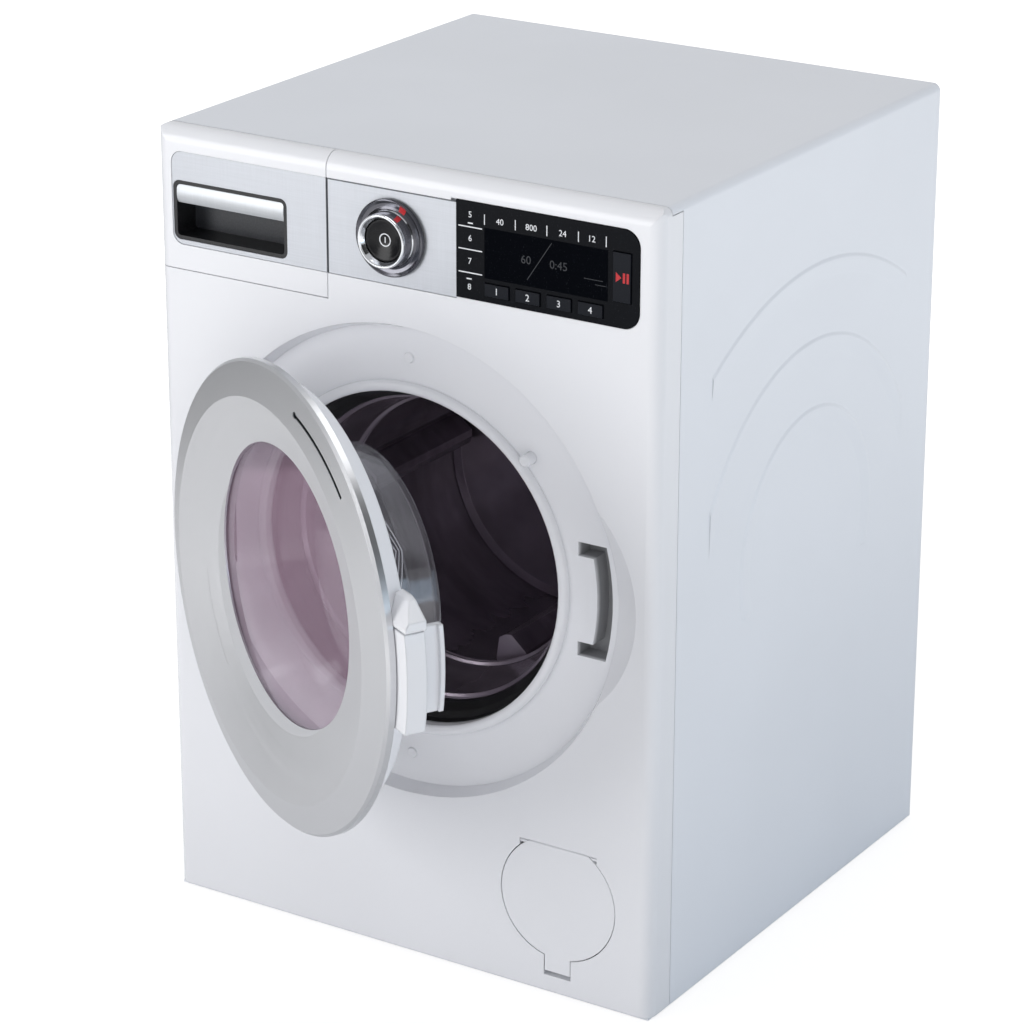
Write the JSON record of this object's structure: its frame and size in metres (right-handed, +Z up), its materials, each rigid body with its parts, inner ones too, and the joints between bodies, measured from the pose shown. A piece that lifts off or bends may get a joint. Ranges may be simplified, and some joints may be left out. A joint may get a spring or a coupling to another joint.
{
  "type": "toy washing machine",
  "caption": "Toy front-loading washing machine with a hinged round door, sliding detergent drawer, geared drum, turning knob, push buttons and a service flap.",
  "frame": {"origin": "middle of the cabinet's footprint on the floor", "axes": "+Z up, +X to the machine's right seen from the front, +Y from the front to the back"},
  "size_m": [0.1858, 0.261, 0.265],
  "materials": {
    "white_gloss": "smooth, slightly glossy moulding",
    "white_matte": "finely textured moulding",
    "silver_paint": "satin silver paint on plastic",
    "silver_facing": "finely brushed silver foil face",
    "plated": "bright plating on plastic",
    "smoked_plated": "dark plating on plastic",
    "black_gloss": "polished",
    "black_matte": "plain",
    "button_black": "polished",
    "window_tint": "tinted, polished",
    "clear": "clear, polished",
    "gasket_black": "soft, matt",
    "drum_grey": "polished",
    "keypad": "matt",
    "steel": "plain",
    "bronze": "sintered",
    "gear_white": "plain",
    "inner_grey": "plain",
    "board_green": "solder mask",
    "motor_can": "rolled",
    "speaker_frame": "plain",
    "cell_jacket": "printed film, left plain"
  },
  "bodies": {
    "cabinet": {"front_shell": "white_gloss", "housing": "white_matte", "base_plate": "white_matte", "rear_cover": "white_matte", "control_fascia": "silver_facing", "display_panel": "black_gloss", "circuit_board": "board_green", "keypad_mat": "keypad", "knob_switch": "inner_grey", "drawer_guide": "inner_grey", "tub": "inner_grey", "door_gasket": "gasket_black", "shaft_bush": "bronze", "gearbox_plate": "inner_grey", "idler_pin": "steel", "drive_motor": "motor_can", "speaker": "speaker_frame", "battery_box": "white_matte", "battery_contacts": "steel", "battery_cells": "cell_jacket", "battery_door": "white_matte", "hinge_bracket": "white_matte", "hinge_pin": "steel", "switch_housing": "inner_grey", "switch_spring": "steel", "rear_screws": "steel", "base_screws": "steel", "board_screws": "steel", "gearbox_screws": "steel", "tub_screws": "steel"},
    "drum": {"drum": "drum_grey", "drum_paddles": "drum_grey", "drum_shaft": "steel", "drum_gear": "gear_white"},
    "idler": {"idler_gear": "gear_white"},
    "pinion": {"motor_pinion": "gear_white"},
    "knob": {"programme_knob": "plated", "knob_retainer": "inner_grey"},
    "power_button": {"power_button": "smoked_plated"},
    "start_button": {"start_button": "button_black"},
    "programme_button_1": {"programme_button_1": "button_black"},
    "programme_button_2": {"programme_button_2": "button_black"},
    "programme_button_3": {"programme_button_3": "button_black"},
    "programme_button_4": {"programme_button_4": "button_black"},
    "door_switch": {"door_switch_pin": "white_gloss"},
    "drawer": {"drawer_front": "white_gloss", "drawer_facing": "silver_facing", "drawer_grip": "black_matte", "drawer_strip": "silver_paint", "drawer_tray": "white_matte"},
    "door": {"door_front_ring": "silver_paint", "door_rear_ring": "white_gloss", "door_window": "window_tint", "door_bowl": "clear", "door_screws": "steel", "latch_block": "white_gloss", "latch_spring": "steel"},
    "latch": {"latch_lever": "white_gloss"},
    "flap": {"service_flap": "white_gloss"}
  },
  "joints": [
    {"name": "door_hinge", "type": "hinge", "parent": "cabinet", "child": "door", "pos_m": [-0.0782, -0.0855, 0.1358], "axis": [0, 0, -1], "range_deg": [-28.1, 50]},
    {"name": "latch_press", "type": "slide", "parent": "door", "child": "latch", "axis": [-0.8821, 0.471, 0], "range_m": [0, 0.0018], "stiffness_N_per_m": 800, "springref_m": -0.001, "deforming": ["latch_spring"]},
    {"name": "knob_turn", "type": "hinge", "parent": "cabinet", "child": "knob", "pos_m": [-0.0029, -0.093, 0.24215], "axis": [0, 1, 0], "continuous": true},
    {"name": "power_press", "type": "slide", "parent": "cabinet", "child": "power_button", "axis": [0, 1, 0], "range_m": [0, 0.001], "stiffness_N_per_m": 400, "springref_m": -0.001},
    {"name": "start_press", "type": "slide", "parent": "cabinet", "child": "start_button", "axis": [0, 1, 0], "range_m": [0, 0.001], "stiffness_N_per_m": 400, "springref_m": -0.001},
    {"name": "programme_press_1", "type": "slide", "parent": "cabinet", "child": "programme_button_1", "axis": [0, 1, 0], "range_m": [0, 0.001], "stiffness_N_per_m": 400, "springref_m": -0.001},
    {"name": "programme_press_2", "type": "slide", "parent": "cabinet", "child": "programme_button_2", "axis": [0, 1, 0], "range_m": [0, 0.001], "stiffness_N_per_m": 400, "springref_m": -0.001},
    {"name": "programme_press_3", "type": "slide", "parent": "cabinet", "child": "programme_button_3", "axis": [0, 1, 0], "range_m": [0, 0.001], "stiffness_N_per_m": 400, "springref_m": -0.001},
    {"name": "programme_press_4", "type": "slide", "parent": "cabinet", "child": "programme_button_4", "axis": [0, 1, 0], "range_m": [0, 0.001], "stiffness_N_per_m": 400, "springref_m": -0.001},
    {"name": "switch_press", "type": "slide", "parent": "cabinet", "child": "door_switch", "axis": [0, 1, 0], "range_m": [0, 0.0025], "stiffness_N_per_m": 120, "springref_m": -0.001, "deforming": ["switch_spring"]},
    {"name": "drum_spin", "type": "hinge", "parent": "cabinet", "child": "drum", "pos_m": [0, -0.03, 0.1358], "axis": [0, 1, 0], "continuous": true},
    {"name": "idler_spin", "type": "hinge", "parent": "cabinet", "child": "idler", "pos_m": [0.015, 0.035, 0.10982], "axis": [0, 1, 0], "continuous": true},
    {"name": "pinion_spin", "type": "hinge", "parent": "cabinet", "child": "pinion", "pos_m": [0.003, 0.04, 0.08903], "axis": [0, 1, 0], "continuous": true},
    {"name": "drawer_slide", "type": "slide", "parent": "cabinet", "child": "drawer", "axis": [0, -1, 0], "range_m": [0, 0.055]},
    {"name": "flap_hinge", "type": "hinge", "parent": "cabinet", "child": "flap", "pos_m": [0.0583, -0.089, 0.0511], "axis": [-1, 0, 0], "range_deg": [0, 75]}
  ],
  "couplings": [
    {"joint": "idler_spin", "follows": "drum_spin", "ratio": -4},
    {"joint": "pinion_spin", "follows": "drum_spin", "ratio": 12}
  ]
}
